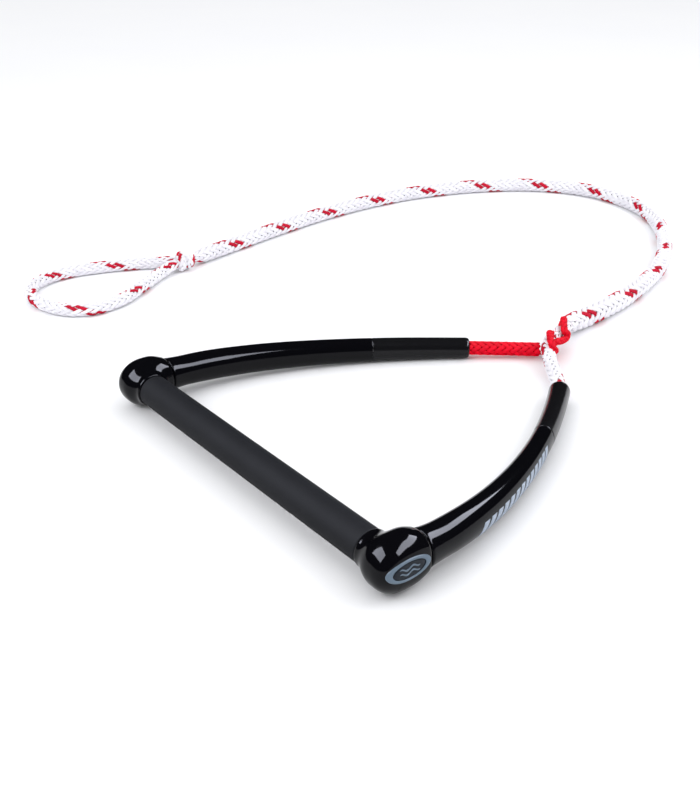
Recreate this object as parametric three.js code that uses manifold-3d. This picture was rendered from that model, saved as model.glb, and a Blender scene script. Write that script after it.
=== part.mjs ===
// Tow rope handle: a gripped bar between two corner caps, two curved arm guards with the
// bridle rope running through them, a stitched splice and a short lead with a hitch loop.
// Millimetres, +Z up. The handle lies on the plane z = 0, with +X along the bar and +Y
// towards the splice. The origin is under the middle of the handle, without its rope.

import * as THREE from "three";
import { mergeVertices } from "three/addons/utils/BufferGeometryUtils.js";
import Module from "manifold-3d";

const wasm = await Module();
wasm.setup();

// ---------------------------------------------------------------- driving dimensions

const GAP = 0.3; // clearance between pieces that touch

const GRIP_LENGTH = 300; // hand space between the two collars
const GRIP_RADIUS = 14;
const BAR_RADIUS = 11;
const BAR_WALL = 1.6;
const BAR_HEIGHT = 22.3; // bar axis above the floor

const PLUG_BODY_LENGTH = 14;
const PLUG_FLANGE = 1.4;
const PLUG_BORE = 3;

const CAP_SETBACK = 22; // from the end of the grip to the centre of the cap
const CAP_OFFSET_Y = 5.5; // cap centre ahead of the bar axis
const CAP_DROP = 0.5; // and below it
const CAP_HALF = { x: 17.4, y: 25.4, z: 22.2 };
const CAP_SQUARENESS = 2.7; // 2 is an ellipse in plan, larger is boxier
const CAP_FRONT_TRIM = 5.9; // flat front where the arm guard seats
const COLLAR_RADIUS = 14.9;
const COLLAR_LENGTH = 14;

const CHAMBER_RADIUS = 12.3; // room for the stopper knot
const CHAMBER_BACK_WALL = 7.5;
const ROPE_WALL = 4; // cap wall that the knot and its washer pull against
const ARM_SPIGOT_RADIUS = 10.5;
const ARM_SPIGOT_LENGTH = 8;
const SPIGOT_ROOT = 2; // how far the spigot reaches back into the arm

const PAD_DEPTH = 1.9; // flat outer face of the cap, cut into its side
const BADGE_HALF = { y: 16, z: 8.4 };
const BADGE_SHIFT = { y: -0.5, z: 0.8 }; // from the centre of the cap's side
const BADGE_THICKNESS = 1.5;
const BADGE_RECESS = 1.1;
const INLAY_SCALE = 0.7;
const INLAY_DEPTH = 0.6;

const ARM_TIP = { x: 58.7, y: 295.3 }; // centre of the right arm's mouth, from the bar axis
const ARM_ROOT_HANDLE = 46.8;
const ARM_DIP = 1; // fall of the arm's axis along that handle
const ARM_TIP_RISE = 2.8;
const ARM_TIP_HANDLE = { x: 98.1, y: -132.2 };
// Rubber outside the rope's bore, at the sides and above, at even stations from root to mouth.
const ARM_SIDE_WALLS = [6.2, 5.4, 4.3, 3.5, 2.9, 2.5, 2.4, 2.4, 2.6];
const ARM_TOP_WALLS = [6.8, 7.3, 6.9, 6.4, 5.7, 5.1, 4.5, 3.8, 3.2];
const SLEEVE_START = 0.68; // where the tip sleeve begins, as a share of the arm's length
const SLEEVE_LAP = 0.045;
const SLEEVE_WALL = 1.2;
const LIP = 0.018;

const LEG_RADIUS = 6.5;
const LEG_CLEARANCE = 0.5;
const KNOT_HALF = { y: 7.6, z: 10.6 };
const KNOT_SLACK = 1.4; // the knot is this much slimmer than its washer
const WASHER_RADIUS = 10.7;
const WASHER_THICKNESS = 2;

const LEAD_RADIUS = 9;
const LOOP_RADIUS = 7;
const STITCH_RADIUS = 3;
const STITCH_TURNS = 2;
const STITCH_SPAN = 26;
const HITCH_HALF = { x: 13, y: 14, z: 11.5 };
const ROPE_SIDES = 10;

// Route points of the loose rope, chosen by hand, in the frame of the finished part.
const LEFT_LEG_AIM = [-7, 218.3, 8.4]; // it stops short of this, where the right leg crosses
const RIGHT_LEG_ROUTE = [
  [40, 171, 11.2], [18, 188.5, 12.6], [-3, 207, 13.6], [-15, 224, 13.6], [-22, 243, 13.6],
  [-28, 263, 13.6],
];
const LEAD_ROUTE = [
  [-28, 263, 13.6], [-31, 273, 13.6], [-35, 294, 11.4], [-39, 330, 10.4], [-45, 371, 10.1],
  [-59, 424, 9.7], [-78, 476, 9.1], [-105, 523, 9.1], [-137, 567, 9.1], [-175, 607, 9.1], [-219, 640, 9.1],
  [-271, 659, 9.1], [-325, 661, 9.1], [-376, 641, 9.1], [-417, 605, 9.1], [-448, 560, 9.1], [-471, 510, 9.1],
  [-486, 457, 9.1], [-493, 402, 9.1], [-494, 347, 9.1], [-490, 292, 9.1], [-482, 238, 9.1], [-472, 184, 9.1],
  [-461, 130, 9.1], [-449, 76, 10.6],
];
const HITCH_CENTRE = [-448.5, 61.5, 11.5];
const LOOP_ROUTE = [
  [-459, 49, 10], [-466, 42, 8.4], [-475, 33, 7.4], [-486, 14, 7.1], [-495, -6, 7.1],
  [-502, -26, 7.1], [-508, -48, 7.1], [-509, -69, 7.1], [-504, -89, 7.1], [-493, -106, 7.1],
  [-475, -117, 7.1], [-455, -121, 7.1], [-434, -119, 7.1], [-414, -112, 7.1], [-398, -100, 7.1],
  [-389, -81, 7.1], [-390, -59, 7.1], [-397, -38, 7.1], [-409, -19, 7.1], [-421, 0, 7.1],
  [-433, 19, 7.3], [-440, 33, 8.2], [-443, 43, 10],
];

// ---------------------------------------------------------------- worked out from them

const CAP_X = GRIP_LENGTH / 2 + CAP_SETBACK;
// The bar reaches in until its plug's flange meets the washer.
const BAR_END = CAP_X - WASHER_RADIUS - PLUG_FLANGE - 3 * GAP;
const BAR_BORE = BAR_RADIUS - BAR_WALL;
const CAP_FRONT_Y = CAP_OFFSET_Y + CAP_HALF.y - CAP_FRONT_TRIM;
const SPIGOT_END_Y = CAP_FRONT_Y + GAP - ARM_SPIGOT_LENGTH;
const CHAMBER_FRONT_Y = SPIGOT_END_Y - GAP - ROPE_WALL;
const CHAMBER_BACK_Y = CAP_OFFSET_Y - CAP_HALF.y + CHAMBER_BACK_WALL;
const LEG_BORE = LEG_RADIUS + LEG_CLEARANCE;
const PAD_X = CAP_X + CAP_HALF.x - PAD_DEPTH;
const WASHER_FRONT_Y = CHAMBER_FRONT_Y - GAP;
const KNOT_Y = WASHER_FRONT_Y - WASHER_THICKNESS - GAP - KNOT_HALF.y;
const TIP_HEIGHT = LEG_BORE + ARM_TOP_WALLS[ARM_TOP_WALLS.length - 1];
const CAP_HEIGHT = BAR_HEIGHT - CAP_DROP;
const BADGE_Y = CAP_OFFSET_Y + BADGE_SHIFT.y;
const BADGE_HEIGHT = CAP_HEIGHT + BADGE_SHIFT.z;

const Z = new THREE.Vector3(0, 0, 1);

// ---------------------------------------------------------------- materials

const finish = (color, roughness, metalness = 0) =>
  new THREE.MeshStandardMaterial({ color, roughness, metalness });
const gripRubber = finish(0x24262c, 0.85);
const dipBlack = finish(0x060608, 0.15);
const sleeveBlack = finish(0x101113, 0.4);
const aluminium = finish(0xb9bcc0, 0.4, 1);
const foam = finish(0xe4e2da, 0.9);
const nylon = finish(0x1b1b1d, 0.5);
const steel = finish(0xa8aaad, 0.3, 1);
const badgeMetal = finish(0x8599a8, 0.35, 0.7);
const badgeDark = finish(0x16191f, 0.3);
const redRope = finish(0xd80626, 0.8);
const whiteRope = finish(0xeeecf0, 0.85);

// ---------------------------------------------------------------- solids and booleans

function solidOf(geometry) {
  const plain = geometry.index ? geometry.toNonIndexed() : geometry.clone();
  plain.deleteAttribute("normal");
  plain.deleteAttribute("uv");
  const merged = mergeVertices(plain, 1e-4);
  return new wasm.Manifold(
    new wasm.Mesh({
      numProp: 3,
      vertProperties: merged.attributes.position.array,
      triVerts: new Uint32Array(merged.index.array),
    }),
  );
}

function geometryOf(solid) {
  const mesh = solid.getMesh();
  const geometry = new THREE.BufferGeometry();
  geometry.setAttribute("position", new THREE.BufferAttribute(mesh.vertProperties, 3));
  geometry.setIndex(new THREE.BufferAttribute(mesh.triVerts, 1));
  geometry.computeVertexNormals();
  return geometry;
}

function join(first, ...others) {
  return geometryOf(others.reduce((sum, g) => sum.add(solidOf(g)), solidOf(first)));
}

function cut(body, ...tools) {
  return geometryOf(tools.reduce((rest, g) => rest.subtract(solidOf(g)), solidOf(body)));
}

const mirrored = (geometry) => {
  const copy = geometry.index ? geometry.toNonIndexed() : geometry.clone();
  const p = copy.attributes.position;
  for (let i = 0; i < p.count; i += 3) {
    const corner = [0, 2, 1].map((k) => new THREE.Vector3().fromBufferAttribute(p, i + k));
    corner.forEach((v, k) => p.setXYZ(i + k, -v.x, v.y, v.z));
  }
  copy.computeVertexNormals();
  return copy;
};

// A cylinder along X or Y between two places on that axis.
function rodX(radius, from, to, y, z, sides = 40) {
  return new THREE.CylinderGeometry(radius, radius, to - from, sides)
    .rotateZ(-Math.PI / 2)
    .translate((from + to) / 2, y, z);
}

function rodY(radius, from, to, x, z, sides = 32) {
  return new THREE.CylinderGeometry(radius, radius, to - from, sides).translate(
    x,
    (from + to) / 2,
    z,
  );
}

// A ball with its own half sizes, and a plan outline between an ellipse and a box.
function boxyBall(half, squareness, centre, around = 40, rings = 22) {
  const ball = new THREE.SphereGeometry(1, around, rings).rotateX(Math.PI / 2);
  const p = ball.attributes.position;
  for (let i = 0; i < p.count; i++) {
    const v = new THREE.Vector3().fromBufferAttribute(p, i);
    const flat = Math.hypot(v.x, v.y) || 1;
    const shares = [v.x / flat, v.y / flat].map((c) => Math.abs(c) ** squareness);
    const reach = (shares[0] + shares[1]) ** (-1 / squareness);
    const grow = flat > 1e-6 && shares[0] + shares[1] > 0 ? reach : 1;
    p.setXYZ(i, v.x * half.x * grow, v.y * half.y * grow, v.z * half.z);
  }
  return ball.translate(centre.x, centre.y, centre.z);
}

// An oval plate lying in the YZ plane, its inner face at x.
function ovalPlate(half, thickness, x, y, z) {
  return new THREE.CylinderGeometry(1, 1, thickness, 48)
    .rotateZ(-Math.PI / 2)
    .scale(1, half.y, half.z)
    .translate(x + thickness / 2, y, z);
}

// A round rope or rod along a smooth curve.
function ropeAlong(curve, radius, steps) {
  const ring = new THREE.Shape();
  for (let i = 0; i < ROPE_SIDES; i++) {
    const a = (i / ROPE_SIDES) * 2 * Math.PI;
    if (i) ring.lineTo(radius * Math.cos(a), radius * Math.sin(a));
    else ring.moveTo(radius, 0);
  }
  ring.closePath();
  return new THREE.ExtrudeGeometry(ring, { steps, extrudePath: curve });
}

const throughPoints = (points) =>
  new THREE.CatmullRomCurve3(
    points.map((p) => new THREE.Vector3(...p)),
    false,
    "centripetal",
  );

// ---------------------------------------------------------------- the arm's centre line

// The arm dips from the cap to the floor, so its root leaves a little more than a gap.
const armRootY = CAP_FRONT_Y + 2 * GAP;
const armCurve = new THREE.CubicBezierCurve3(
  new THREE.Vector3(CAP_X, armRootY, CAP_HEIGHT),
  new THREE.Vector3(CAP_X, armRootY + ARM_ROOT_HANDLE, CAP_HEIGHT - ARM_DIP),
  new THREE.Vector3(
    ARM_TIP.x + ARM_TIP_HANDLE.x,
    ARM_TIP.y + ARM_TIP_HANDLE.y,
    TIP_HEIGHT + ARM_TIP_RISE,
  ),
  new THREE.Vector3(ARM_TIP.x, ARM_TIP.y, TIP_HEIGHT),
);

// A size read along the arm from evenly spaced stations.
function sizeAt(stations, share) {
  const line = new THREE.SplineCurve(stations.map((v, i) => new THREE.Vector2(i, v)));
  return line.getPoint(share).y;
}

// The oval section of the arm at a share of its length: half width and half height.
const armWidth = (share) => LEG_BORE + sizeAt(ARM_SIDE_WALLS, share);
const armHeight = (share) => LEG_BORE + sizeAt(ARM_TOP_WALLS, share);

// An oval bar along the arm. Each ring is [share of the length, half width, half height].
function armSection(rings, sides) {
  const bar = new THREE.CylinderGeometry(1, 1, 1, sides, rings.length - 1);
  const p = bar.attributes.position;
  for (let i = 0; i < p.count; i++) {
    const ring = rings[Math.round((p.getY(i) + 0.5) * (rings.length - 1))];
    const along = armCurve.getTangentAt(ring[0]);
    const side = new THREE.Vector3().crossVectors(along, Z).normalize();
    const up = new THREE.Vector3().crossVectors(side, along);
    const point = armCurve
      .getPointAt(ring[0])
      .addScaledVector(side, p.getX(i) * ring[1])
      .addScaledVector(up, p.getZ(i) * ring[2]);
    p.setXYZ(i, point.x, point.y, point.z);
  }
  return bar;
}

const shares = (from, to, count) =>
  Array.from({ length: count + 1 }, (_, i) => from + ((to - from) * i) / count);

const armRings = (list, shrink = 0) =>
  list.map((s) => [s, armWidth(s) - shrink, armHeight(s) - shrink]);

const boreRings = (radius, list) => list.map((s) => [s, radius, radius]);

// ---------------------------------------------------------------- pieces on the bar

const gripSleeve = cut(
  rodX(GRIP_RADIUS, -GRIP_LENGTH / 2, GRIP_LENGTH / 2, 0, BAR_HEIGHT),
  rodX(BAR_RADIUS + GAP, -GRIP_LENGTH, GRIP_LENGTH, 0, BAR_HEIGHT),
);

const barTube = cut(
  rodX(BAR_RADIUS, -BAR_END, BAR_END, 0, BAR_HEIGHT),
  rodX(BAR_BORE, -GRIP_LENGTH, GRIP_LENGTH, 0, BAR_HEIGHT),
);

const coreEnd = BAR_END - PLUG_BODY_LENGTH - GAP;
const foamCore = rodX(BAR_BORE - GAP, -coreEnd, coreEnd, 0, BAR_HEIGHT, 24);

const endPlug = cut(
  join(
    rodX(BAR_BORE - GAP, BAR_END - PLUG_BODY_LENGTH, BAR_END + 1, 0, BAR_HEIGHT, 32),
    rodX(BAR_RADIUS, BAR_END + GAP, BAR_END + GAP + PLUG_FLANGE, 0, BAR_HEIGHT, 32),
  ),
  rodX(PLUG_BORE, BAR_END - GRIP_LENGTH / 2, BAR_END + GRIP_LENGTH / 2, 0, BAR_HEIGHT, 16),
);

// ---------------------------------------------------------------- corner cap

const capCentre = new THREE.Vector3(CAP_X, CAP_OFFSET_Y, CAP_HEIGHT);
const capReach = 2 * CAP_HALF.y;
const capBlock = (x, y, z, sx, sy, sz) => new THREE.BoxGeometry(sx, sy, sz).translate(x, y, z);

const cornerCap = cut(
  join(
    boxyBall(CAP_HALF, CAP_SQUARENESS, capCentre),
    rodX(
      COLLAR_RADIUS,
      GRIP_LENGTH / 2 + GAP,
      GRIP_LENGTH / 2 + GAP + COLLAR_LENGTH,
      0,
      BAR_HEIGHT,
    ),
  ),
  rodX(BAR_RADIUS + GAP, GRIP_LENGTH / 2 - GAP, BAR_END + PLUG_FLANGE + 2 * GAP, 0, BAR_HEIGHT),
  rodY(CHAMBER_RADIUS, CHAMBER_BACK_Y, CHAMBER_FRONT_Y, CAP_X, CAP_HEIGHT),
  rodY(LEG_BORE, CHAMBER_FRONT_Y - 1, CAP_FRONT_Y + capReach, CAP_X, CAP_HEIGHT),
  rodY(ARM_SPIGOT_RADIUS + GAP, SPIGOT_END_Y - GAP, CAP_FRONT_Y + capReach, CAP_X, CAP_HEIGHT),
  capBlock(CAP_X, CAP_FRONT_Y + capReach / 2, CAP_HEIGHT, capReach, capReach, capReach * 2),
  capBlock(PAD_X + capReach / 2, CAP_OFFSET_Y, CAP_HEIGHT, capReach, capReach * 2, capReach * 2),
  capBlock(CAP_X, CAP_OFFSET_Y, -capReach / 2, capReach, capReach * 2, capReach),
  ovalPlate(
    { y: BADGE_HALF.y + GAP, z: BADGE_HALF.z + GAP },
    capReach,
    PAD_X - BADGE_RECESS,
    BADGE_Y,
    BADGE_HEIGHT,
  ),
);

const inlayHalf = { y: BADGE_HALF.y * INLAY_SCALE, z: BADGE_HALF.z * INLAY_SCALE };
const badgeBack = PAD_X - BADGE_RECESS + GAP;
const inlayBack = badgeBack + BADGE_THICKNESS - INLAY_DEPTH;

const badgeRing = cut(
  ovalPlate(BADGE_HALF, BADGE_THICKNESS, badgeBack, BADGE_Y, BADGE_HEIGHT),
  ovalPlate(inlayHalf, BADGE_THICKNESS, inlayBack, BADGE_Y, BADGE_HEIGHT),
);

const badgeInlay = ovalPlate(
  { y: inlayHalf.y - GAP, z: inlayHalf.z - GAP },
  INLAY_DEPTH,
  inlayBack + GAP,
  BADGE_Y,
  BADGE_HEIGHT,
);

// ---------------------------------------------------------------- arm guard and tip sleeve

const ARM_SIDES = 24;
const armBore = armSection(boreRings(LEG_BORE, [0, ...shares(0.02, 0.98, 16), 1]), 20);

// The guard's outer surface runs under the sleeve as a slimmer neck.
const neckEnd = SLEEVE_START + SLEEVE_LAP;
const guardOuter = armSection(
  [
    ...armRings(shares(0, SLEEVE_START, 12)),
    ...armRings([SLEEVE_START + 1e-4, neckEnd], SLEEVE_WALL + GAP),
  ],
  ARM_SIDES,
);

const armGuard = cut(
  join(
    guardOuter,
    rodY(ARM_SPIGOT_RADIUS, SPIGOT_END_Y, armRootY + SPIGOT_ROOT, CAP_X, CAP_HEIGHT),
  ),
  armBore,
  rodY(LEG_BORE, SPIGOT_END_Y - 1, armRootY + SPIGOT_ROOT, CAP_X, CAP_HEIGHT, 20),
);

const armLength = armCurve.getLength();
const sleeveGap = GAP / armLength;
const sleeveOuter = armSection(
  [
    ...armRings(shares(SLEEVE_START + sleeveGap, 1 - LIP, 8)),
    ...armRings([1 - LIP * 0.6], 0.35),
    ...armRings([1 - LIP * 0.25], 0.9),
    ...armRings([1], 1.9),
  ],
  ARM_SIDES,
);

const armSleeve = cut(
  sleeveOuter,
  armBore,
  armSection(armRings([SLEEVE_START - 0.01, SLEEVE_START, neckEnd + sleeveGap], SLEEVE_WALL), 24),
);

// ---------------------------------------------------------------- rope inside the handle

const stopperKnot = boxyBall(
  { x: WASHER_RADIUS - KNOT_SLACK, ...KNOT_HALF },
  2,
  new THREE.Vector3(CAP_X, KNOT_Y, CAP_HEIGHT),
  18,
  12,
);

const ropeWasher = cut(
  rodY(WASHER_RADIUS, WASHER_FRONT_Y - WASHER_THICKNESS, WASHER_FRONT_Y, CAP_X, CAP_HEIGHT),
  rodY(LEG_RADIUS + GAP, KNOT_Y, CHAMBER_FRONT_Y + 1, CAP_X, CAP_HEIGHT, 20),
);

// Points of a leg from its knot to the arm's mouth, on the side of sign.
function legInside(sign, shift) {
  const start = KNOT_Y + KNOT_HALF.y + GAP;
  const points = [
    [sign * CAP_X, start, CAP_HEIGHT],
    [sign * CAP_X, CHAMBER_FRONT_Y, CAP_HEIGHT],
  ];
  for (const share of shares(0.03, 1, 12)) {
    const p = armCurve.getPointAt(share);
    points.push([sign * p.x, p.y, p.z]);
  }
  return points.map(([x, y, z]) => [x, y + shift, z]);
}

// ---------------------------------------------------------------- the scene

const handle = new THREE.Group();
const part = new THREE.Group();
part.add(handle);

function place(group, name, geometry, material) {
  const mesh = new THREE.Mesh(geometry, material);
  mesh.name = name;
  group.add(mesh);
  return mesh;
}

place(handle, "grip_sleeve", gripSleeve, gripRubber);
place(handle, "bar_tube", barTube, aluminium);
place(handle, "bar_foam_core", foamCore, foam);

const paired = [
  ["end_plug", endPlug, nylon],
  ["corner_cap", cornerCap, dipBlack],
  ["badge_ring", badgeRing, badgeMetal],
  ["badge_inlay", badgeInlay, badgeDark],
  ["arm_guard", armGuard, dipBlack],
  ["arm_tip_sleeve", armSleeve, sleeveBlack],
  ["rope_washer", ropeWasher, steel],
  ["stopper_knot", stopperKnot, redRope],
];
for (const [name, geometry, material] of paired) {
  place(handle, name + "_left", mirrored(geometry), material);
  place(handle, name + "_right", geometry, material.clone());
}
handle.getObjectByName("stopper_knot_right").material = whiteRope.clone();

// The origin goes under the middle of the handle.
const extent = new THREE.Box3().setFromObject(handle);
handle.position.y = -(extent.min.y + extent.max.y) / 2;

// ---------------------------------------------------------------- loose rope

// A route with its first and last points pulled along it.
function shortened(points, atStart, atEnd) {
  const list = points.map((p) => new THREE.Vector3(...p));
  const last = list.length - 1;
  const pull = (from, to, by) => list[from].lerp(list[to], by / list[from].distanceTo(list[to]));
  pull(0, 1, atStart);
  pull(last, last - 1, atEnd);
  return list.map((v) => v.toArray());
}

const leftRoute = [...legInside(-1, handle.position.y), LEFT_LEG_AIM];
const leftLeg = throughPoints(shortened(leftRoute, 0, 2 * LEG_RADIUS));
place(part, "bridle_leg_left", ropeAlong(leftLeg, LEG_RADIUS, 40), redRope.clone());

const rightLeg = throughPoints([...legInside(1, handle.position.y), ...RIGHT_LEG_ROUTE]);
place(part, "bridle_leg_right", ropeAlong(rightLeg, LEG_RADIUS, 46), whiteRope.clone());

// The lead starts a gap further along than the leg ends.
const lead = throughPoints(shortened(LEAD_ROUTE, GAP, 0));
place(part, "lead_rope", ropeAlong(lead, LEAD_RADIUS, 44), whiteRope.clone());

// The stitch winds round the last stretch of the right leg.
const stitchPath = (() => {
  const axis = throughPoints(RIGHT_LEG_ROUTE);
  const length = axis.getLength();
  const winding = LEG_RADIUS + STITCH_RADIUS + 2 * GAP;
  const end = 1 - (STITCH_RADIUS + GAP) / length;
  const begin = end - STITCH_SPAN / length;
  const points = [];
  for (let i = 0; i <= STITCH_TURNS * 12; i++) {
    const share = i / (STITCH_TURNS * 12);
    const s = begin + (end - begin) * share;
    const along = axis.getTangentAt(s);
    const side = new THREE.Vector3().crossVectors(along, Z).normalize();
    const up = new THREE.Vector3().crossVectors(side, along);
    const turn = share * STITCH_TURNS * 2 * Math.PI;
    points.push(
      axis
        .getPointAt(s)
        .addScaledVector(side, winding * Math.sin(turn))
        .addScaledVector(up, winding * Math.cos(turn)),
    );
  }
  return new THREE.CatmullRomCurve3(points);
})();
place(part, "lock_stitch", ropeAlong(stitchPath, STITCH_RADIUS, 48), redRope.clone());

const hitch = boxyBall(HITCH_HALF, 2, new THREE.Vector3(...HITCH_CENTRE), 24, 16);
place(part, "loop_hitch", hitch, whiteRope.clone());

const loop = throughPoints(LOOP_ROUTE);
place(part, "hitch_loop", ropeAlong(loop, LOOP_RADIUS, 44), whiteRope.clone());

export default part;
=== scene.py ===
import math

import bpy
import numpy as np
from mathutils import Matrix, Vector


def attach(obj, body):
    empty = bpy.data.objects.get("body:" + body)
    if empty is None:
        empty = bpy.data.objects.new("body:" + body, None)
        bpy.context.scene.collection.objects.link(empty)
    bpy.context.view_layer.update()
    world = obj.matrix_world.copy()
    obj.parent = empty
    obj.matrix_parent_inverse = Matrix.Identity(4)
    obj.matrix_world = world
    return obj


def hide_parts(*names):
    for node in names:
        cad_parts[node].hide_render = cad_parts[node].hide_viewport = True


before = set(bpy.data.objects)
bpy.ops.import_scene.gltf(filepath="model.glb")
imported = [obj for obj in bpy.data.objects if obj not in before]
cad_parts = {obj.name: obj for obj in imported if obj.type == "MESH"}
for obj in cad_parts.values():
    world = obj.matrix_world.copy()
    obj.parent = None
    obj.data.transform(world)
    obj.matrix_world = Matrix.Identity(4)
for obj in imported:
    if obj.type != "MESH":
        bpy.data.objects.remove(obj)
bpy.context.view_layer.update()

MM = 0.001
rng = np.random.default_rng(7)

# The driving dimensions of part.mjs, in millimetres, and the shift of the handle in Y.
HANDLE_Y = -140.0
BAR_HEIGHT = 22.3
GRIP_LENGTH = 300.0
GRIP_RADIUS = 14.0
CAP_X = 172.0
CAP_Y = 5.5
CAP_HEIGHT = 21.8
CAP_HALF = (17.4, 25.4, 22.2)
CAP_SQUARENESS = 2.7
CAP_FRONT_Y = 25.0
PAD_X = 187.5
COLLAR_RADIUS = 14.9
ARM_CONTROL = ((172, 25.6, 21.8), (172, 72.4, 20.8), (156.8, 163.1, 13.0), (58.7, 295.3, 10.2))
ARM_HALF_WIDTHS = (13.2, 12.4, 11.3, 10.5, 9.9, 9.5, 9.4, 9.4, 9.6)
ARM_HALF_HEIGHTS = (13.8, 14.3, 13.9, 13.4, 12.7, 12.1, 11.5, 10.8, 10.2)
SLEEVE_START = 0.68
ARM_BORE = 7.0
LEAD_RADIUS = 9.0
LOOP_RADIUS = 7.0

# Route points of the loose rope, the same as in part.mjs.
LEFT_LEG_END = (-15.2, 208.2, 8.7)
RIGHT_LEG_ROUTE = [
    (40, 171, 11.2), (18, 188.5, 12.6), (-3, 207, 13.6), (-15, 224, 13.6), (-22, 243, 13.6),
    (-28, 263, 13.6),
]
LEAD_ROUTE = [
    (-28, 263, 13.6), (-31, 273, 13.6), (-35, 294, 11.4), (-39, 330, 10.4), (-45, 371, 10.1),
    (-59, 424, 9.7), (-78, 476, 9.1), (-105, 523, 9.1), (-137, 567, 9.1), (-175, 607, 9.1),
    (-219, 640, 9.1), (-271, 659, 9.1), (-325, 661, 9.1), (-376, 641, 9.1), (-417, 605, 9.1),
    (-448, 560, 9.1), (-471, 510, 9.1), (-486, 457, 9.1), (-493, 402, 9.1), (-494, 347, 9.1),
    (-490, 292, 9.1), (-482, 238, 9.1), (-472, 184, 9.1), (-461, 130, 9.1), (-449, 76, 10.6),
]
LOOP_ROUTE = [
    (-459, 49, 10), (-466, 42, 8.4), (-475, 33, 7.4), (-486, 14, 7.1), (-495, -6, 7.1),
    (-502, -26, 7.1), (-508, -48, 7.1), (-509, -69, 7.1), (-504, -89, 7.1), (-493, -106, 7.1),
    (-475, -117, 7.1), (-455, -121, 7.1), (-434, -119, 7.1), (-414, -112, 7.1), (-398, -100, 7.1),
    (-389, -81, 7.1), (-390, -59, 7.1), (-397, -38, 7.1), (-409, -19, 7.1), (-421, 0, 7.1),
    (-433, 19, 7.3), (-440, 33, 8.2), (-443, 43, 10),
]

# ---------------------------------------------------------------- camera

AZIMUTH, ELEVATION, ROLL = math.radians(51.92), math.radians(27.76), math.radians(-0.44)
TARGET = Vector((-0.06098, 0.00927, 0))
DISTANCE = 0.95685
SENSOR_WIDTH, FOCAL_LENGTH, FAR_CLIP = 36, 54.19, 60

outward = math.cos(ELEVATION)
back = Vector((math.sin(AZIMUTH) * outward, -math.cos(AZIMUTH) * outward, math.sin(ELEVATION)))
level = Vector((math.cos(AZIMUTH), math.sin(AZIMUTH), 0))
upward = back.cross(level)
right = level * math.cos(ROLL) + upward * math.sin(ROLL)
up = upward * math.cos(ROLL) - level * math.sin(ROLL)
camera_data = bpy.data.cameras.new("camera")
camera_data.sensor_fit = "HORIZONTAL"
camera_data.sensor_width = SENSOR_WIDTH
camera_data.lens = FOCAL_LENGTH
camera_data.clip_end = FAR_CLIP
camera = bpy.data.objects.new("camera", camera_data)
turn = Matrix((right, up, back)).transposed().to_4x4()
camera.matrix_world = Matrix.Translation(TARGET + back * DISTANCE) @ turn
bpy.context.collection.objects.link(camera)
bpy.context.scene.camera = camera

# ---------------------------------------------------------------- node materials


class Nodes:
    """A new material whose nodes are added in a few words."""

    def __init__(self, name, color, roughness, **sockets):
        self.material = bpy.data.materials.new(name)
        self.material.use_nodes = True
        self.tree = self.material.node_tree
        self.shader = self.tree.nodes["Principled BSDF"]
        self.shader.inputs["Base Color"].default_value = (*color, 1)
        self.shader.inputs["Roughness"].default_value = roughness
        for socket, value in sockets.items():
            self.shader.inputs[socket.replace("_", " ")].default_value = value
        self.normal = None

    def add(self, kind, **values):
        """A node of that kind. Each value goes to its socket, or else to its property."""
        node = self.tree.nodes.new(kind)
        for key, value in values.items():
            if key in node.inputs:
                node.inputs[key].default_value = value
            else:
                setattr(node, key, value)
        return node

    def link(self, source, target):
        self.tree.links.new(source, target)

    def place(self):
        return self.add("ShaderNodeTexCoord").outputs["Object"]

    def attribute(self, name):
        return self.add("ShaderNodeAttribute", attribute_name=name).outputs["Fac"]

    def noise(self, scale, detail=3.0, vector=None):
        node = self.add("ShaderNodeTexNoise", Scale=scale, Detail=detail)
        self.link(vector if vector else self.place(), node.inputs["Vector"])
        return node.outputs["Fac"]

    def math(self, operation, a, b=None):
        node = self.add("ShaderNodeMath", operation=operation)
        for i, value in enumerate((a, b)):
            if value is None:
                continue
            if isinstance(value, (int, float)):
                node.inputs[i].default_value = value
            else:
                self.link(value, node.inputs[i])
        return node.outputs[0]

    def ramp(self, factor, *stops):
        node = self.add("ShaderNodeValToRGB")
        elements = node.color_ramp.elements
        while len(elements) < len(stops):
            elements.new(0.5)
        for element, (position, color) in zip(elements, stops):
            element.position = position
            element.color = (*color, 1)
        self.link(factor, node.inputs["Fac"])
        return node.outputs["Color"]

    def range(self, factor, low, high):
        node = self.add("ShaderNodeMapRange")
        node.inputs["To Min"].default_value = low
        node.inputs["To Max"].default_value = high
        self.link(factor, node.inputs["Value"])
        return node.outputs["Result"]

    def color(self, source):
        self.link(source, self.shader.inputs["Base Color"])

    def roughness(self, source):
        self.link(source, self.shader.inputs["Roughness"])

    def bump(self, height, strength, distance):
        """One more layer of bump, on top of those already there."""
        node = self.add("ShaderNodeBump", Strength=strength, Distance=distance)
        self.link(height, node.inputs["Height"])
        if self.normal:
            self.link(self.normal, node.inputs["Normal"])
        self.normal = node.outputs["Normal"]
        self.link(self.normal, self.shader.inputs["Normal"])


def strand_material(name, light, dark):
    """Rope strands: fine filaments along each strand, and a tone of its own for each."""
    n = Nodes(name, light, 0.62, Specular_IOR_Level=0.08)
    filament = n.math("SINE", n.math("MULTIPLY", n.attribute("around"), 16.0))
    fuzz = n.noise(900, 2)
    own = n.math("MULTIPLY", n.attribute("tone"), 0.55)
    tone = n.math("ADD", own, n.math("MULTIPLY", fuzz, 0.45))
    n.color(n.ramp(tone, (0.2, dark), (0.65, light)))
    n.roughness(n.range(fuzz, 0.6, 0.85))
    n.bump(filament, 0.3, 0.0002)
    n.bump(fuzz, 0.2, 0.0002)
    return n.material


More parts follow.
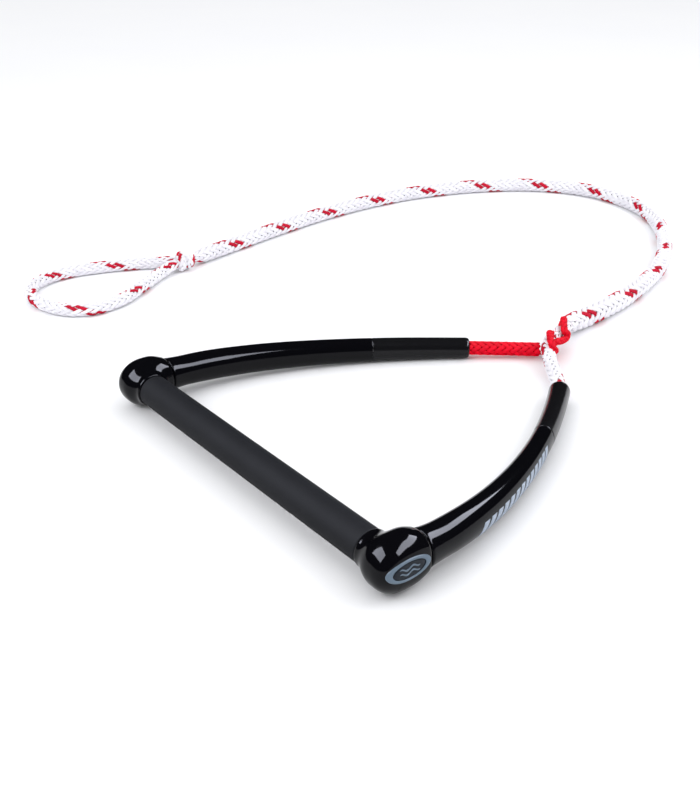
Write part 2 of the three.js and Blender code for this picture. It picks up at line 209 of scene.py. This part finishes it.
def shade_tube_material(name, dark, light):
    """The shade inside a hollow braid, seen through the gaps between its strands."""
    n = Nodes(name, dark, 0.9, Specular_IOR_Level=0.1)
    n.color(n.ramp(n.noise(500), (0.3, dark), (0.7, light)))
    return n.material


white_strand = strand_material("white_strand", (0.88, 0.87, 0.91), (0.78, 0.76, 0.82))
tracer_strand = strand_material("tracer_strand", (0.6, 0.004, 0.03), (0.42, 0.002, 0.02))
red_strand = strand_material("red_strand", (0.82, 0.0, 0.018), (0.62, 0.0, 0.012))
# The dark tubes inside the braids are painted shade, seen through the gaps between the strands.
painted_shade_white = shade_tube_material("rope_painted_shade", (0.03, 0.027, 0.04), (0.07, 0.06, 0.08))
painted_shade_red = shade_tube_material("rope_painted_shade_red", (0.1, 0.0, 0.004), (0.16, 0.0, 0.006))

dip = Nodes("gloss_dip", (0.0025, 0.0025, 0.0035), 0.08, Specular_IOR_Level=0.12)
dip.roughness(dip.range(dip.noise(60, 4), 0.05, 0.1))
dip.bump(dip.noise(45, 1), 0.06, 0.0015)
dip_material = dip.material

sleeve = Nodes("satin_sleeve", (0.006, 0.006, 0.007), 0.22, Specular_IOR_Level=0.17)
sleeve.roughness(sleeve.range(sleeve.noise(120, 4), 0.12, 0.22))
sleeve.bump(sleeve.noise(1500, 2), 0.08, 0.0001)
sleeve_material = sleeve.material

grip = Nodes("grip_rubber", (0.005, 0.006, 0.008), 0.75, Specular_IOR_Level=0.15)
grip_noise = grip.noise(2600, 4)
GRIP_DARK, GRIP_LIGHT = (0.003, 0.0034, 0.005), (0.0048, 0.0054, 0.0075)
grip.color(grip.ramp(grip.noise(35, 5), (0.3, GRIP_DARK), (0.7, GRIP_LIGHT)))
grip.roughness(grip.range(grip_noise, 0.62, 0.82))
grip.bump(grip_noise, 0.35, 0.0003)
grip_material = grip.material

silver = Nodes("badge_silver", (0.12, 0.165, 0.215), 0.35, Specular_IOR_Level=0.2)
silver.roughness(silver.range(silver.noise(900, 3), 0.24, 0.4))
silver_material = silver.material

enamel = Nodes("badge_enamel", (0.008, 0.012, 0.018), 0.25, Specular_IOR_Level=0.15)
enamel.roughness(enamel.range(enamel.noise(700, 3), 0.18, 0.3))
enamel_material = enamel.material

ink = Nodes("marking_ink", (0.36, 0.42, 0.51), 0.4, Specular_IOR_Level=0.2)
ink.roughness(ink.range(ink.noise(800, 3), 0.34, 0.5))
ink_material = ink.material

# ---------------------------------------------------------------- mesh helpers


def new_object(name, points, faces, materials, indices=None, attributes=()):
    """A smooth object from points in millimetres, which rides on the root body."""
    mesh = bpy.data.meshes.new(name)
    faces = np.asarray(faces, dtype=np.int32)
    points = np.asarray(points, dtype=np.float32) * MM
    mesh.vertices.add(len(points))
    mesh.vertices.foreach_set("co", points.ravel())
    count, corners = faces.shape
    mesh.loops.add(count * corners)
    mesh.loops.foreach_set("vertex_index", faces.ravel())
    mesh.polygons.add(count)
    mesh.polygons.foreach_set("loop_start", np.arange(0, count * corners, corners, dtype=np.int32))
    for material in materials:
        mesh.materials.append(material)
    if indices is not None:
        mesh.polygons.foreach_set("material_index", np.asarray(indices, dtype=np.int32))
    mesh.update(calc_edges=True)
    mesh.polygons.foreach_set("use_smooth", np.full(count, True))
    for label, values in attributes:
        layer = mesh.attributes.new(label, "FLOAT", "POINT")
        layer.data.foreach_set("value", np.asarray(values, dtype=np.float32))
    mesh.validate()
    obj = bpy.data.objects.new(name, mesh)
    bpy.context.collection.objects.link(obj)
    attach(obj, "root")
    return obj


def grid_faces(rows, columns, closed_rows=False, ends=False):
    """Quads of a grid of rows by columns, closed round the columns, with flat ends if asked."""
    r = np.arange(rows if closed_rows else rows - 1)
    c = np.arange(columns)
    rr, cc = np.meshgrid(r, c, indexing="ij")
    r2, c2 = (rr + 1) % rows, (cc + 1) % columns
    quad = np.stack([rr * columns + cc, rr * columns + c2, r2 * columns + c2, r2 * columns + cc], -1)
    quad = quad.reshape(-1, 4)
    if not ends:
        return quad
    corner = np.arange(0, columns - 2, 2)
    near = np.stack([corner * 0, corner + 3, corner + 2, corner + 1], -1) % columns
    far = near[:, ::-1] + (rows - 1) * columns
    return np.vstack([quad, near, far])


def ring_angles(count):
    return np.linspace(0, 2 * math.pi, count, endpoint=False)


SPAN_SAMPLES = 40


def smooth_path(points, step=0.5):
    """Even points, about a step apart, along the centripetal curve that part.mjs uses."""
    p = np.asarray(points, dtype=float)
    p = np.vstack([2 * p[0] - p[1], p, 2 * p[-1] - p[-2]])
    pieces = []
    for p0, p1, p2, p3 in zip(p, p[1:], p[2:], p[3:]):
        d0, d1, d2 = (np.linalg.norm(b - a) ** 0.5 for a, b in ((p0, p1), (p1, p2), (p2, p3)))
        m1 = d1 * ((p1 - p0) / d0 - (p2 - p0) / (d0 + d1) + (p2 - p1) / d1)
        m2 = d1 * ((p2 - p1) / d1 - (p3 - p1) / (d1 + d2) + (p3 - p2) / d2)
        t = np.linspace(0, 1, SPAN_SAMPLES, endpoint=False)[:, None]
        h = (2 * t**3 - 3 * t**2 + 1) * p1 + (t**3 - 2 * t**2 + t) * m1
        pieces.append(h + (3 * t**2 - 2 * t**3) * p2 + (t**3 - t**2) * m2)
    line = np.vstack(pieces + [p[-2:-1]])
    along = np.concatenate([[0], np.cumsum(np.linalg.norm(np.diff(line, axis=0), axis=1))])
    even = np.linspace(0, along[-1], int(along[-1] / step) + 2)
    return even, np.stack([np.interp(even, along, line[:, k]) for k in range(3)], 1)


class Route:
    """A rope's centre line, with a frame that doesn't twist along it."""

    def __init__(self, points, step=0.5):
        self.at, self.line = smooth_path(points, step)
        self.length = self.at[-1]
        tangent = np.gradient(self.line, axis=0)
        self.tangent = tangent / np.linalg.norm(tangent, axis=1)[:, None]
        side = np.cross(self.tangent[0], (0, 0, 1.0))
        sides = [side / np.linalg.norm(side)]
        for t in self.tangent[1:]:
            s = sides[-1] - t * sides[-1].dot(t)
            sides.append(s / np.linalg.norm(s))
        self.side = np.array(sides)
        self.up = np.cross(self.side, self.tangent)

    def point(self, s, radius, angle):
        """Where a point at that distance from the line and angle round it lies."""
        s = np.asarray(s, dtype=float)
        inside = np.clip(s, 0, self.length)
        beyond = (s - inside)[..., None]

        def read(table):
            return np.stack([np.interp(inside, self.at, table[:, k]) for k in range(3)], -1)

        out = read(self.side) * np.cos(angle)[..., None] + read(self.up) * np.sin(angle)[..., None]
        return read(self.line) + read(self.tangent) * beyond + out * np.asarray(radius)[..., None]


# The section of a flattened strand: how far across and how proud each of its corners lies.
STRAND_ACROSS = np.array([-1.0, -0.6, 0.6, 1.0, 0.6, -0.6])
STRAND_PROUD = np.array([0.0, 1.0, 1.0, 0.0, -1.0, -1.0])
# A strand's half thickness and the depth of its wave, as shares of the rope's radius, and how much
# of its lane it fills.
STRAND_THICKNESS, STRAND_WAVE, STRAND_FILL = 0.115, 0.085, 0.88
# How sharply a strand dives from over its neighbours to under them.
STRAND_DIVE = 3
# The dark tube of painted shade inside a braid, seen through the gaps between its strands: its sides,
# the step along it, how far its ends are set back and how far under the strands it lies, in strand
# half thicknesses.
SHADE_TUBE_SIDES, SHADE_TUBE_STEP, SHADE_TUBE_SETBACK, SHADE_TUBE_DEPTH = 14, 6, 5, 1.5


def steady(value):
    """A table of one value all along a rope."""
    return ((0, value), (1, value))


def ease(values, points):
    """A smooth reading of (place, value) points."""
    at, level = zip(*points)
    span = np.clip(np.interp(values, at, range(len(at))), 0, len(at) - 1)
    low = np.minimum(span.astype(int), len(at) - 2)
    share = span - low
    share = share * share * (3 - 2 * share)
    level = np.array(level)
    return level[low] * (1 - share) + level[low + 1] * share


def braid(name, route, radius, carriers, pitch, materials, first, red=(), twist=steady(0),
          swell=steady(1), samples=4):
    """A hollow braid round a route. Half the strands turn each way, each over two and under two.

    first is where the pattern starts, which may drift along the rope. twist is the turn of the
    whole braid, in degrees, and swell its size. All three are tables by share of the length.
    red lists the strands, as (way, number), that take the second material. The dark tube of painted
    shade inside takes the third.
    """
    half = carriers // 2
    count = max(8, int(route.length / pitch * carriers * samples))
    s0 = np.linspace(0, route.length, count)
    thick = radius * STRAND_THICKNESS
    wave = radius * STRAND_WAVE
    middle = radius - wave - thick
    lean = math.atan2(2 * math.pi * middle, pitch)
    width = math.pi * middle / half * math.cos(lean) * STRAND_FILL
    across = STRAND_ACROSS * width
    pattern_at = s0 - ease(s0 / route.length, first)
    verts, faces, indices, around, tones = [], [], [], [], []
    base = 0

    def add(s, reach, angle, rows, columns, tag, side, tone):
        """A closed strand or the dark tube of painted shade, from each point's place along, reach and
        angle.
        """
        nonlocal base
        share = s / route.length
        turned = angle + np.radians(ease(share, twist))
        verts.append(route.point(s, reach * ease(share, swell), turned).reshape(-1, 3))
        quads = grid_faces(rows, columns, ends=True) + base
        faces.append(quads)
        indices.append(np.full(len(quads), tag))
        around.append(side)
        tones.append(np.full(rows * columns, tone))
        base += rows * columns

    for way in (1, -1):
        for k in range(half):
            turn = way * 2 * math.pi * pattern_at / pitch + 2 * math.pi * k / half
            float_wave = np.tanh(STRAND_DIVE * np.cos(half / 2 * turn - math.pi / 4)) * way
            s = s0[:, None] - way * across * math.sin(lean)
            angle = turn[:, None] + across * math.cos(lean) / middle
            reach = middle + wave * float_wave[:, None] + STRAND_PROUD * thick
            tag = 1 if (way, k) in red else 0
            side = np.tile(STRAND_ACROSS, count)
            add(s, reach, angle, count, len(across), tag, side, rng.uniform(0.2, 1))
    # Inside the strands runs a dark tube of painted shade.
    rings = max(8, int(route.length / SHADE_TUBE_STEP))
    s = np.linspace(SHADE_TUBE_SETBACK, route.length - SHADE_TUBE_SETBACK, rings)
    s = np.repeat(s[:, None], SHADE_TUBE_SIDES, 1)
    angle = np.tile(ring_angles(SHADE_TUBE_SIDES), (rings, 1))
    inner = np.full_like(s, middle - thick * SHADE_TUBE_DEPTH)
    add(s, inner, angle, rings, SHADE_TUBE_SIDES, 2, np.zeros(rings * SHADE_TUBE_SIDES), 0.5)
    return new_object(
        name,
        np.vstack(verts),
        np.vstack(faces),
        materials,
        np.concatenate(indices),
        attributes=(("around", np.concatenate(around)), ("tone", np.concatenate(tones))),
    )


# ---------------------------------------------------------------- the arm's centre line


def arm_point(t, sign=1):
    p0, p1, p2, p3 = (np.array(p, dtype=float) for p in ARM_CONTROL)
    t = np.asarray(t, dtype=float)[..., None]
    q = (1 - t) ** 3 * p0 + 3 * (1 - t) ** 2 * t * p1 + 3 * (1 - t) * t**2 * p2 + t**3 * p3
    return q * (sign, 1, 1) + (0, HANDLE_Y, 0)


ARM_LINE = arm_point(np.linspace(0, 1, 801))
ARM_AT = np.concatenate([[0], np.cumsum(np.linalg.norm(np.diff(ARM_LINE, axis=0), axis=1))])
ARM_LENGTH = ARM_AT[-1]
ARM_TANGENT = np.gradient(ARM_LINE, axis=0)
ARM_TANGENT /= np.linalg.norm(ARM_TANGENT, axis=1)[:, None]


def half_size(stations, share):
    """A half size of the arm, read along evenly spaced stations by the curve part.mjs uses."""
    last = len(stations) - 1
    place = np.clip(np.asarray(share, dtype=float), 0, 1) * last
    k = np.minimum(place.astype(int), last)
    w = place - k
    v = np.array(stations)
    p0, p1, p2, p3 = (v[np.clip(k + i, 0, last)] for i in (-1, 0, 1, 2))
    v0, v1 = (p2 - p0) / 2, (p3 - p1) / 2
    return (2 * p1 - 2 * p2 + v0 + v1) * w**3 + (3 * p2 - 3 * p1 - 2 * v0 - v1) * w**2 + v0 * w + p1


def arm_surface(share, angle, lift=0.0, bore=None):
    """Points of the right arm's skin: angle 0 is its outer side and a quarter turn is its top."""
    share, angle, lift = np.broadcast_arrays(share, angle, lift)
    s = share * ARM_LENGTH
    line = np.stack([np.interp(s, ARM_AT, ARM_LINE[:, k]) for k in range(3)], -1)
    along = np.stack([np.interp(s, ARM_AT, ARM_TANGENT[:, k]) for k in range(3)], -1)
    side = np.cross(along, (0, 0, 1.0))
    side /= np.linalg.norm(side, axis=-1)[..., None]
    over = np.cross(side, along)
    wide = half_size(ARM_HALF_WIDTHS, share) + lift if bore is None else bore + lift
    tall = half_size(ARM_HALF_HEIGHTS, share) + lift if bore is None else bore + lift
    return line + side * (wide * np.cos(angle))[..., None] + over * (tall * np.sin(angle))[..., None]


def both_sides(name, points, faces, material, slot, node=None):
    """The right piece and its mirror image on the left, each in place of its own CAD node."""
    points = points.reshape(-1, 3)
    left = new_object(name + "_left", points * (-1, 1, 1), faces[:, ::-1], [material])
    right = new_object(name + "_right", points, faces, [material])
    for obj, label in ((left, "_left"), (right, "_right")):
        if node:
            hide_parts(node + label)


# ---------------------------------------------------------------- the ropes

WHITE = [white_strand, tracer_strand, painted_shade_white]
RED = [red_strand, white_strand, painted_shade_red]
TRACERS = ((-1, 0), (-1, 1))

LEG_START = (0.97, 0.985, 1.0)
left_route = Route([arm_point(t, -1) for t in LEG_START] + [LEFT_LEG_END])
left_leg = braid("leg_red", left_route, 6.9, 12, 46, RED, first=steady(4), samples=6)
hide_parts("bridle_leg_left")

right_route = Route([arm_point(t) for t in LEG_START] + RIGHT_LEG_ROUTE)
right_leg = braid(
    "leg_white", right_route, 6.7, 16, 76, WHITE, red=TRACERS, first=steady(41),
    twist=((0, -51), (0.35, -31), (0.6, 9), (1, 9)),
)
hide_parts("bridle_leg_right")

# The tracers' floats lie on the side of the rope that faces up and forward all the way along.
lead_route = Route(LEAD_ROUTE)
lead = braid(
    "lead", lead_route, LEAD_RADIUS, 16, 84, WHITE, red=TRACERS,
    first=((0, -20), (0.2, -22), (0.3, -28), (0.45, -13), (0.65, -10), (0.87, -5), (1, -5)),
    twist=((0, -100), (0.1, -103), (0.2, -79), (0.3, -26), (0.4, 7), (0.5, 17), (1, 9)),
    swell=(
        (0, 0.8), (0.01, 1.1), (0.03, 1.18), (0.07, 1.16), (0.15, 1.05), (0.22, 1), (0.985, 1),
        (1, 0.6),
    ),
)
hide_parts("lead_rope")

# The loop's ends run on into the hitch.
loop_route = Route([(-451, 58, 11), *LOOP_ROUTE, (-444.5, 56, 11.2)])
loop = braid(
    "end_loop", loop_route, LOOP_RADIUS, 16, 76.5, WHITE, red=TRACERS,
    first=((0, 26), (0.3, 26), (0.6, 31), (1, 31)),
    twist=((0, 15), (0.28, 13), (0.6, -190), (1, -185)),
    swell=((0, 0.6), (0.03, 0.95), (0.07, 1), (0.93, 1), (0.97, 0.95), (1, 0.6)),
)
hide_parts("hitch_loop")

# The stitch: the end of the red leg goes under the white one, up its front, along inside it,
# down its front again and back into it.
# Past its first two points, each is the distance before the white leg's end, the angle round
# that leg and the distance from its middle.
STITCH_START = [(-13, 210, 6.6), (-8, 215, 3.9)]
STITCH_POINTS = [
    (46, -60, 9.6), (54, -34, 8.4), (62, -4, 7), (68, 30, 6.2), (71, 58, 7.6), (67, 76, 10),
    (60, 82, 10.7), (53, 85, 10.7), (47, 91, 10), (41, 98, 7.6), (33, 104, 3.6), (20, 104, 2.5),
    (11, 100, 5.5), (8, 97, 9), (8, 94, 10.7), (12, 84, 10.9), (18, 69, 10.9), (23, 53, 10.8),
    (26, 36, 10.8), (23, 17, 10.8), (24, -4, 10.6), (32, -4, 10.2), (43, 10, 9.9), (52, 30, 9.2),
    (59, 48, 5.5),
]
stitch_line = STITCH_START + [
    right_route.point(right_route.length - d, np.array(r), np.radians(a)) for d, a, r in STITCH_POINTS
]
stitch = braid("stitch", Route(stitch_line), 3.5, 8, 24, RED, first=steady(0), samples=6)
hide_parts("lock_stitch")

# The hitch: the loop's rope passes once round the end of the lead.
HITCH_CENTRE = np.array((-446.5, 62.5, 11.9))
HITCH_HALF_WIDTH, HITCH_HALF_HEIGHT, HITCH_RISE, HITCH_OVERLAP = 7.4, 5.9, 1.7, 0.9
HITCH_ALONG = np.array((0.1, 0.97, 0.2))
HITCH_ALONG /= np.linalg.norm(HITCH_ALONG)
hitch_side = np.cross(HITCH_ALONG, (0, 0, 1.0))
hitch_side /= np.linalg.norm(hitch_side)
hitch_up = np.cross(hitch_side, HITCH_ALONG)
hitch_turn = np.linspace(-HITCH_OVERLAP, 2 * math.pi + HITCH_OVERLAP, 40)
hitch_line = (
    HITCH_CENTRE
    + np.outer(np.cos(hitch_turn) * HITCH_HALF_WIDTH, hitch_side)
    + np.outer(np.sin(hitch_turn) * HITCH_HALF_HEIGHT, hitch_up)
    + np.outer((hitch_turn - math.pi) * HITCH_RISE, HITCH_ALONG)
)
hitch = braid("hitch", Route(hitch_line), 5.6, 12, 34, WHITE, red=TRACERS, first=steady(8), samples=6)
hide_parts("loop_hitch")


# ---------------------------------------------------------------- grip

GRIP_EDGE, GRIP_INNER, GRIP_SIDES = 1.6, 11.3, 96
corner = np.radians(np.linspace(90, 0, 7))
end_x = GRIP_LENGTH / 2 - GRIP_EDGE + GRIP_EDGE * np.cos(corner)
end_r = GRIP_RADIUS - GRIP_EDGE + GRIP_EDGE * np.sin(corner)
body_x = np.linspace(-GRIP_LENGTH / 2 + 3, GRIP_LENGTH / 2 - 3, 60)
grip_x = np.concatenate([-end_x[::-1], body_x, end_x, end_x[-1:], -end_x[-1:]])
grip_r = np.concatenate([end_r[::-1], body_x * 0 + GRIP_RADIUS, end_r, [GRIP_INNER, GRIP_INNER]])
grip_turn = ring_angles(GRIP_SIDES)
grip_points = np.stack(
    [
        np.repeat(grip_x[:, None], GRIP_SIDES, 1),
        HANDLE_Y + np.outer(grip_r, np.cos(grip_turn)),
        BAR_HEIGHT + np.outer(grip_r, np.sin(grip_turn)),
    ],
    -1,
)
grip_faces = grid_faces(len(grip_x), GRIP_SIDES, True)
grip_object = new_object("grip", grip_points.reshape(-1, 3), grip_faces, [grip_material])
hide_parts("grip_sleeve")

# ---------------------------------------------------------------- corner caps


def soft_max(a, b, k):
    """The larger of two fields, with their edge rounded over a width k."""
    h = np.clip(k - np.abs(a - b), 0, None) / k
    return np.maximum(a, b) + h * h * k / 4


# The cap swells into the arm, and the arm flares to meet it.
SHOULDER_LIFT, SHOULDER_BLEND, COLLAR_BLEND = 0.9, 6, 5
FLARE, FLARE_SHARE = 1.5, 0.07
# Scaling by this makes the bulb's field close to a distance in millimetres.
BULB_SIZE = 20


def cap_field(x, y, z):
    """Below nought inside the right cap, in the handle's frame."""
    p = CAP_SQUARENESS
    plan = (np.abs(x - CAP_X) / CAP_HALF[0]) ** p + (np.abs(y - CAP_Y) / CAP_HALF[1]) ** p
    bulb = (np.hypot(plan ** (1 / p), (z - CAP_HEIGHT) / CAP_HALF[2]) - 1) * BULB_SIZE
    wide, tall = ARM_HALF_WIDTHS[0] + SHOULDER_LIFT, ARM_HALF_HEIGHTS[0] + SHOULDER_LIFT
    shoulder = (np.hypot((x - CAP_X) / wide, (z - CAP_HEIGHT) / tall) - 1) * wide
    bulb = -soft_max(-bulb, -np.maximum(shoulder, -y), SHOULDER_BLEND)
    collar = np.hypot(y, z - BAR_HEIGHT) - COLLAR_RADIUS
    collar = np.maximum(collar, x - CAP_X)
    both = -soft_max(-bulb, -collar, COLLAR_BLEND)
    front, outer, inner, floor_side = y - CAP_FRONT_Y, x - PAD_X, GRIP_LENGTH / 2 + 0.3 - x, -z
    for plane, k in ((front, 2.2), (outer, 3), (inner, 1.6), (floor_side, 1.5)):
        both = soft_max(both, plane, k)
    return both


def reach_of(field, span):
    """How far along each ray, up to span, the field crosses nought."""
    low = np.zeros_like(field(0.0))
    high = low + span
    for _ in range(32):
        middle = (low + high) / 2
        inside = field(middle) < 0
        low = np.where(inside, middle, low)
        high = np.where(inside, high, middle)
    return low


# The cap's skin is where rays from a point inside it leave the field.
CAP_EYE = (167.0, 1.0, 22.0)
CAP_ROWS, CAP_COLUMNS, CAP_SPAN, POLE_GAP = 150, 220, 70.0, 0.004
polar = np.linspace(POLE_GAP, math.pi - POLE_GAP, CAP_ROWS)[:, None]
turn = ring_angles(CAP_COLUMNS)[None, :]
ray = [-np.cos(polar) + 0 * turn, np.sin(polar) * np.cos(turn), np.sin(polar) * np.sin(turn)]
reach = reach_of(lambda r: cap_field(*(e + r * d for e, d in zip(CAP_EYE, ray))), CAP_SPAN)
cap_points = np.stack([e + reach * d for e, d in zip(CAP_EYE, ray)], -1) + (0, HANDLE_Y, 0)
cap_faces = grid_faces(CAP_ROWS, CAP_COLUMNS, ends=True)
both_sides("cap", cap_points, cap_faces, dip_material, "dip_black", "corner_cap")

# ---------------------------------------------------------------- badges

BADGE_CENTRE = (3.6, 23.9)
BADGE_REACH = (18.8, 8.4)
SIDE_SPAN = 30.0


def on_cap(y, z, lift):
    """Points on the cap's outer side, a lift proud of it."""
    x = CAP_X + reach_of(lambda r: cap_field(CAP_X + r, y, z), SIDE_SPAN)
    return np.stack([x + lift, y + HANDLE_Y, z], -1)


def oval_ring(section, count=120):
    """A ring on the cap's side. Its section is a closed list of (share of the reach, lift)."""
    angle = ring_angles(count)[:, None]
    size, lift = np.array(section).T
    y = BADGE_CENTRE[0] + BADGE_REACH[0] * size * np.cos(angle)
    z = BADGE_CENTRE[1] + BADGE_REACH[1] * size * np.sin(angle)
    return on_cap(y, z, lift + 0 * angle), grid_faces(count, len(section), True)


RING_SECTION = [(0.76, -0.4), (0.76, 0.5), (0.79, 0.8), (0.95, 0.8), (1, 0.45), (1, -0.4)]
ring = oval_ring(RING_SECTION)
both_sides("badge_ring_look", *ring, silver_material, "badge_metal", "badge_ring")
INLAY_SECTION = [(0.78, -0.4), (0.78, 0.35), (0.6, 0.35), (0.4, 0.35), (0.2, 0.35), (0.004, 0.35)]
INLAY_SECTION += [(0.004, -0.4), (0.4, -0.4)]
inlay = oval_ring(INLAY_SECTION)
both_sides("badge_inlay_look", *inlay, enamel_material, "badge_dark", "badge_inlay")

# Two plain wavy lines lie across the inlay, thin at their ends.
WAVE_HALF_SPAN, WAVE_HALF_WIDTH, WAVE_DEPTH, WAVE_RATE, WAVE_STEPS = 8.6, 0.75, 1.1, 0.62, 60
WAVE_LIFT = np.array([0.3, 0.3, 0.6, 0.6])
WAVE_SHIFTS = (1.7, -1.9)
along = np.linspace(-WAVE_HALF_SPAN, WAVE_HALF_SPAN, WAVE_STEPS)[:, None]
edge = np.array([-1, 1, 1, -1]) * WAVE_HALF_WIDTH
taper = np.sqrt(np.clip(1 - (along / (WAVE_HALF_SPAN + 0.2)) ** 2, 0.02, 1))
wave_faces = grid_faces(WAVE_STEPS, 4, ends=True)
for number, shift in enumerate(WAVE_SHIFTS):
    y = BADGE_CENTRE[0] + along + 0 * edge
    z = BADGE_CENTRE[1] + shift + WAVE_DEPTH * np.sin(along * WAVE_RATE) + edge * taper
    wave = on_cap(y, z, WAVE_LIFT + 0 * along)
    both_sides(f"badge_wave_{number}", wave, wave_faces, silver_material, "badge_metal")

# ---------------------------------------------------------------- arm guards and their sleeves


def arm_tube(rings, inner, sides=72, bore_rings=60):
    """A tube along the arm. Each ring is (share, lift) of the skin; the bore runs back inside."""
    angle = ring_angles(sides)[None, :]
    share, lift = (np.array(v)[:, None] for v in zip(*rings))
    skin = arm_surface(share, angle, lift)
    back_share = np.linspace(rings[-1][0], rings[0][0], bore_rings)[:, None]
    hole = arm_surface(back_share, angle, 0.0, bore=inner)
    points = np.concatenate([skin, hole])
    return points, grid_faces(len(points), sides, True)


ROOT_EDGE = ((0, -1.7), (0.0008, -1.0), (0.002, -0.45), (0.0035, -0.12))
SEAM_EDGE = ((SLEEVE_START - 0.0035, -0.01), (SLEEVE_START - 0.0018, -0.08))
body = [(float(t), 0.0) for t in np.linspace(0.006, SLEEVE_START - 0.005, 150)]
guard_rings = [
    (t, lift + FLARE * max(0.0, 1 - t / FLARE_SHARE) ** 2)
    for t, lift in (*ROOT_EDGE, *body, *SEAM_EDGE, (SLEEVE_START - 0.0008, -0.3))
]
guard = arm_tube(guard_rings, ARM_BORE)
both_sides("guard", *guard, dip_material, "dip_black", "arm_guard")

# The sleeve's mouth is rounded over a share of the arm's length, to a depth.
LIP_SHARE, LIP_DEPTH = 0.012, 2.0
# Its bore is this much tighter than the arm's.
SLEEVE_GRIP = 0.2
sleeve_rings = [(SLEEVE_START + 0.0004, -0.3), (SLEEVE_START + 0.0014, -0.08)]
sleeve_rings += [(float(t), 0.0) for t in np.linspace(SLEEVE_START + 0.0035, 1 - LIP_SHARE, 90)]
for step in np.linspace(0, 1, 9)[1:]:
    sleeve_rings.append((1 - LIP_SHARE * (1 - step), -LIP_DEPTH * (1 - math.sqrt(1 - step**2))))
tip_sleeve = arm_tube(sleeve_rings, ARM_BORE - SLEEVE_GRIP)
both_sides("tip_sleeve", *tip_sleeve, sleeve_material, "sleeve_black", "arm_tip_sleeve")

# A row of plain slanted bars is printed on the outer side of the right arm. It climbs a little.
BAR_COUNT, BAR_FROM, BAR_TO = 13, 0.17, 0.6
BAR_WIDTH_SHARE = 0.7
BAR_LOW, BAR_HIGH, BAR_CLIMB = -46.0, 8.0, 22.0
SLANT = 5.0
BAR_STEPS = 14
pace = (BAR_TO - BAR_FROM) / BAR_COUNT
edge = np.array([0, 1, 1, 0]) * pace * BAR_WIDTH_SHARE
lift = np.array([-0.25, -0.25, 0.12, 0.12])
bar_faces = grid_faces(BAR_STEPS, 4, ends=True)
for number in range(BAR_COUNT):
    at = BAR_FROM + pace * number
    climb = BAR_CLIMB * number / (BAR_COUNT - 1)
    angle = np.radians(np.linspace(BAR_LOW, BAR_HIGH, BAR_STEPS) + climb)[:, None]
    lean = SLANT / ARM_LENGTH * (angle - angle[0]) / (angle[-1] - angle[0])
    bar = arm_surface(at + lean + edge, angle + 0 * edge, lift + 0 * angle)
    mark = new_object(f"print_bar_{number}", bar.reshape(-1, 3), bar_faces, [ink_material])

# ---------------------------------------------------------------- studio

paper = Nodes("studio_floor", (0.93, 0.93, 0.94), 0.9)
PAPER_DARK, PAPER_LIGHT = (0.925, 0.925, 0.935), (0.935, 0.935, 0.94)
paper.color(paper.ramp(paper.noise(3, 2), (0.3, PAPER_DARK), (0.7, PAPER_LIGHT)))

FLOOR_REACH = 40
corners = np.array([(-1, -1, 0), (1, -1, 0), (1, 1, 0), (-1, 1, 0)]) * FLOOR_REACH
floor_mesh = bpy.data.meshes.new("floor")
floor_mesh.from_pydata(corners.tolist(), [], [(0, 1, 2, 3)])
floor_mesh.materials.append(paper.material)
floor = bpy.data.objects.new("floor", floor_mesh)
bpy.context.collection.objects.link(floor)

world = bpy.data.worlds.new("studio")
bpy.context.scene.world = world
bpy.context.scene.view_settings.view_transform = "Standard"
world.use_nodes = True
background = world.node_tree.nodes["Background"]
background.inputs["Color"].default_value = (0.97, 0.98, 1, 1)
background.inputs["Strength"].default_value = 0.8
world.cycles_visibility.glossy = False


def soft_light(name, place, aim, width, height, watts, color=(1, 1, 1), seen=True, lights=True):
    """A panel of light. seen is whether gloss mirrors it, and lights whether it lights matt skin."""
    data = bpy.data.lights.new(name, "AREA")
    data.shape = "RECTANGLE"
    data.size, data.size_y = width, height
    data.energy = watts
    data.color = color
    light = bpy.data.objects.new(name, data)
    place, aim = Vector(place), Vector(aim)
    light.location = place
    light.rotation_euler = (aim - place).to_track_quat("-Z", "Y").to_euler()
    light.visible_glossy = seen
    light.visible_diffuse = lights
    bpy.context.collection.objects.link(light)


# Two soft boxes make the highlights, and a broad ceiling with two fills makes the light.
SKY = (0.84, 0.87, 1)
FRONT, SIDE = (-0.1, -1.1, 0.95), (0.8, 0.9, 1.2)
soft_light("front_box", (-0.25, -1.05, 1.0), (0, -0.1, 0), 1.25, 0.75, 68, color=SKY, lights=False)
soft_light("side_box", SIDE, (0.05, 0, 0), 2.1, 0.6, 100, color=SKY, lights=False)
soft_light("front_fill", FRONT, (0, -0.1, 0), 0.8, 0.5, 5, seen=False)
soft_light("side_fill", SIDE, (0.05, 0, 0), 0.8, 0.5, 9, seen=False)
soft_light("ceiling", (-1.2, 1.0, 4.5), (-1.2, 1.0, 0), 9, 9, 120, seen=False)
